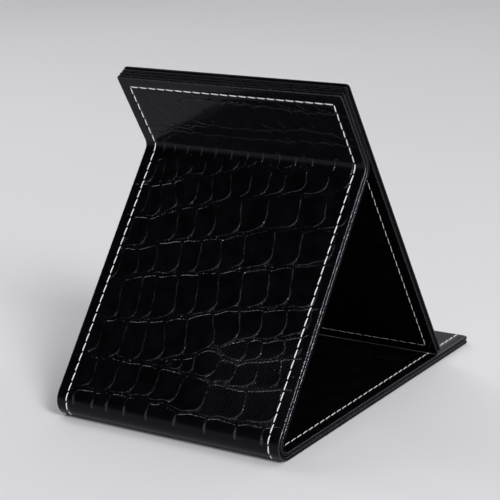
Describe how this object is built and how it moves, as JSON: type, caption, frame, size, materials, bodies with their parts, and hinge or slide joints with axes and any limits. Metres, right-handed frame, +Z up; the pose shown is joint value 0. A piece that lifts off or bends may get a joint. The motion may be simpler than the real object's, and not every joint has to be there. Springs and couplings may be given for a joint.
{
  "type": "folding makeup mirror",
  "caption": "Folding makeup mirror in a sewn black cover: base, leg and upper fold into an A-frame stand that holds a framed mirror panel at a lean.",
  "frame": {"origin": "centre of the footprint on the table, under the base", "axes": "+Z up, -Y towards the user whom the glass faces, +Y towards the spine, +X across the panels"},
  "size_m": [0.12, 0.18, 0.1521],
  "materials": {
    "outer_leatherette": "glossy, embossed in tiles",
    "lining_leatherette": "smooth, glossy",
    "greyboard": "matte",
    "soft_filler": "matte",
    "white_thread": "matte",
    "tape": "matte",
    "glass": "polished",
    "silvering": "polished"
  },
  "bodies": {
    "base": {"base_outer_skin": "outer_leatherette", "base_outer_board": "greyboard", "base_outer_thread_left": "white_thread", "base_outer_thread_right": "white_thread", "base_lining_skin": "lining_leatherette", "base_lining_board": "greyboard", "base_lining_thread_left": "white_thread", "base_lining_thread_right": "white_thread"},
    "spine": {"spine_outer_skin": "outer_leatherette", "spine_filler": "soft_filler", "spine_lining_skin": "lining_leatherette", "spine_thread_left": "white_thread", "spine_thread_right": "white_thread"},
    "leg": {"leg_outer_skin": "outer_leatherette", "leg_outer_board": "greyboard", "leg_outer_thread_left": "white_thread", "leg_outer_thread_right": "white_thread", "leg_lining_skin": "lining_leatherette", "leg_lining_board": "greyboard", "leg_lining_thread_left": "white_thread", "leg_lining_thread_right": "white_thread", "crease_outer_skin": "outer_leatherette", "crease_filler": "soft_filler", "crease_lining_skin": "lining_leatherette", "crease_thread_left": "white_thread", "crease_thread_right": "white_thread"},
    "mirror": {"upper_outer_skin": "outer_leatherette", "upper_outer_board": "greyboard", "upper_thread": "white_thread", "upper_lining_skin": "lining_leatherette", "upper_lining_board": "greyboard", "bonding_tape": "tape", "mirror_back_skin": "lining_leatherette", "mirror_back_board": "greyboard", "mirror_back_thread": "white_thread", "bezel_skin": "outer_leatherette", "mirror_front_thread": "white_thread", "spacer_frame": "greyboard", "mirror_glass": "glass", "mirror_silvering": "silvering", "glass_tape": "tape"}
  },
  "joints": [
    {"name": "cover_swing", "type": "hinge", "parent": "base", "child": "spine", "pos_m": [0, 0.0853, 0.00288], "axis": [-1, 0, 0], "range_deg": [0, 63.8], "deforming": ["spine_outer_skin", "spine_filler", "spine_lining_skin", "spine_thread_left", "spine_thread_right"]},
    {"name": "stand_fold", "type": "hinge", "parent": "spine", "child": "leg", "pos_m": [0, 0.08801, 0.00838], "axis": [-1, 0, 0], "range_deg": [0, 63.8]},
    {"name": "crease_fold", "type": "hinge", "parent": "leg", "child": "mirror", "pos_m": [0, 0.00918, 0.11218], "axis": [1, 0, 0], "range_deg": [0, 67.97], "deforming": ["crease_outer_skin", "crease_filler", "crease_lining_skin", "crease_thread_left", "crease_thread_right"]}
  ],
  "couplings": [
    {"joint": "crease_fold", "follows": "stand_fold", "ratio": 1.0653}
  ]
}
